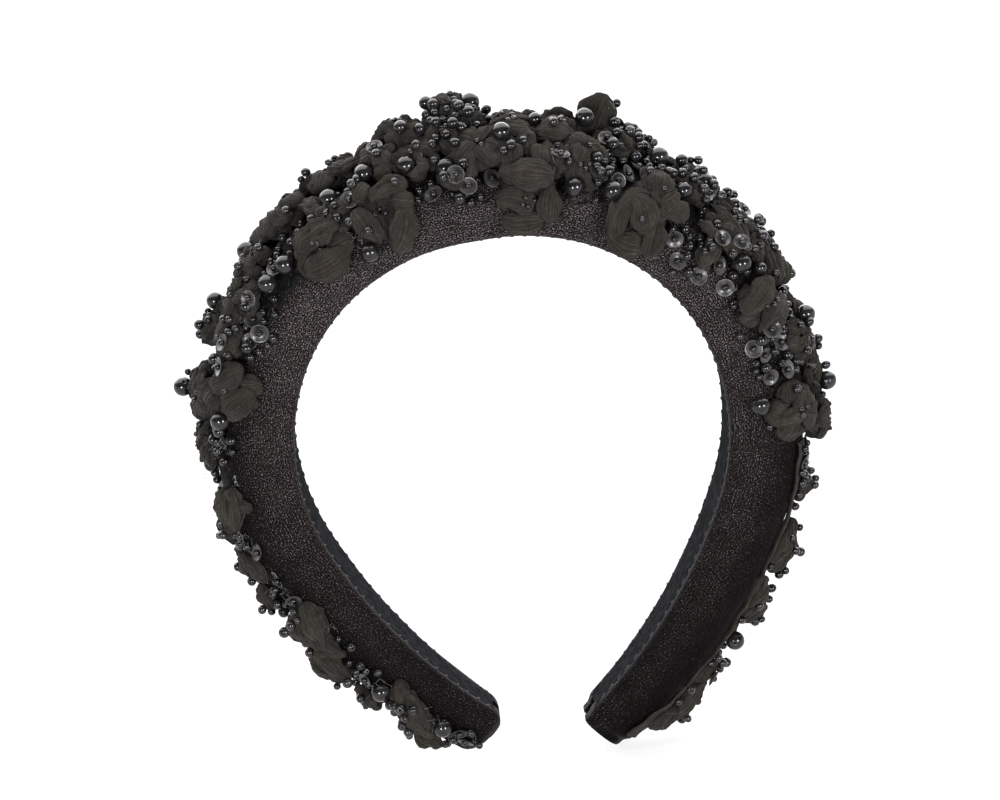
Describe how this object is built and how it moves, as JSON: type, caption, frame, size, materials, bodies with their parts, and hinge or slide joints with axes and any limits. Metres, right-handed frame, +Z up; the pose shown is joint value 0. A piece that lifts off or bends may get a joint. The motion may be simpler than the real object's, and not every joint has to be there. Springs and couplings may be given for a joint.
{
  "type": "headband",
  "caption": "Padded velvet headband with a flexible inner band, a stitched lining and a sewn-on applique of chiffon roses, pearls, beads and sequins.",
  "frame": {"origin": "middle of the lining's inner face at the crown, where the headband rests on top of the head", "axes": "+Z up as worn, the arms hang down along -Z on the -X and +X sides, -Y is the front of the head"},
  "size_m": [0.2032, 0.0568, 0.2152],
  "materials": {
    "velvet": "black stretch velvet with a fine rib, sheen at grazing angles",
    "foam": "charcoal padding foam",
    "band_plastic": "black flexible plastic strip",
    "lining_cloth": "slate grey woven lining",
    "net_mesh": "fine black net",
    "chiffon": "matt crinkled chiffon, warm black",
    "thread": "black sewing thread",
    "pearl_gloss": "black pearl, high gloss",
    "sequin_gloss": "dark grey translucent cup sequin and black glass seed bead, glossy"
  },
  "bodies": {
    "root": {"band_core": "band_plastic", "foam_pad": "foam", "velvet_cover": "velvet", "lining_strip": "lining_cloth", "lining_thread_front": "thread", "lining_thread_back": "thread", "applique_net": "net_mesh", "edge_ruffle": "chiffon", "flower_01": "chiffon", "flower_02": "chiffon", "flower_03": "chiffon", "flower_04": "chiffon", "flower_05": "chiffon", "flower_06": "chiffon", "flower_07": "chiffon", "flower_08": "chiffon", "flower_09": "chiffon", "flower_10": "chiffon", "flower_11": "chiffon", "flower_12": "chiffon", "flower_13": "chiffon", "flower_14": "chiffon", "flower_15": "chiffon", "flower_16": "chiffon", "flower_17": "chiffon", "flower_18": "chiffon", "flower_19": "chiffon", "flower_20": "chiffon", "flower_21": "chiffon", "flower_22": "chiffon", "flower_23": "chiffon", "flower_24": "chiffon", "petal_01": "chiffon", "petal_02": "chiffon", "petal_03": "chiffon", "petal_04": "chiffon", "petal_05": "chiffon", "petal_06": "chiffon", "petal_07": "chiffon", "petal_08": "chiffon", "pearl_01": "pearl_gloss", "pearl_02": "pearl_gloss", "pearl_03": "pearl_gloss", "pearl_04": "pearl_gloss", "pearl_05": "pearl_gloss", "pearl_06": "pearl_gloss", "pearl_07": "pearl_gloss", "pearl_08": "pearl_gloss", "pearl_09": "pearl_gloss", "pearl_10": "pearl_gloss", "pearl_11": "pearl_gloss", "pearl_12": "pearl_gloss", "bead_cluster_01": "sequin_gloss", "bead_cluster_02": "sequin_gloss", "bead_cluster_03": "sequin_gloss", "bead_cluster_04": "sequin_gloss", "bead_cluster_05": "sequin_gloss", "bead_cluster_06": "sequin_gloss", "bead_cluster_07": "sequin_gloss", "bead_cluster_08": "sequin_gloss"}
  },
  "joints": []
}
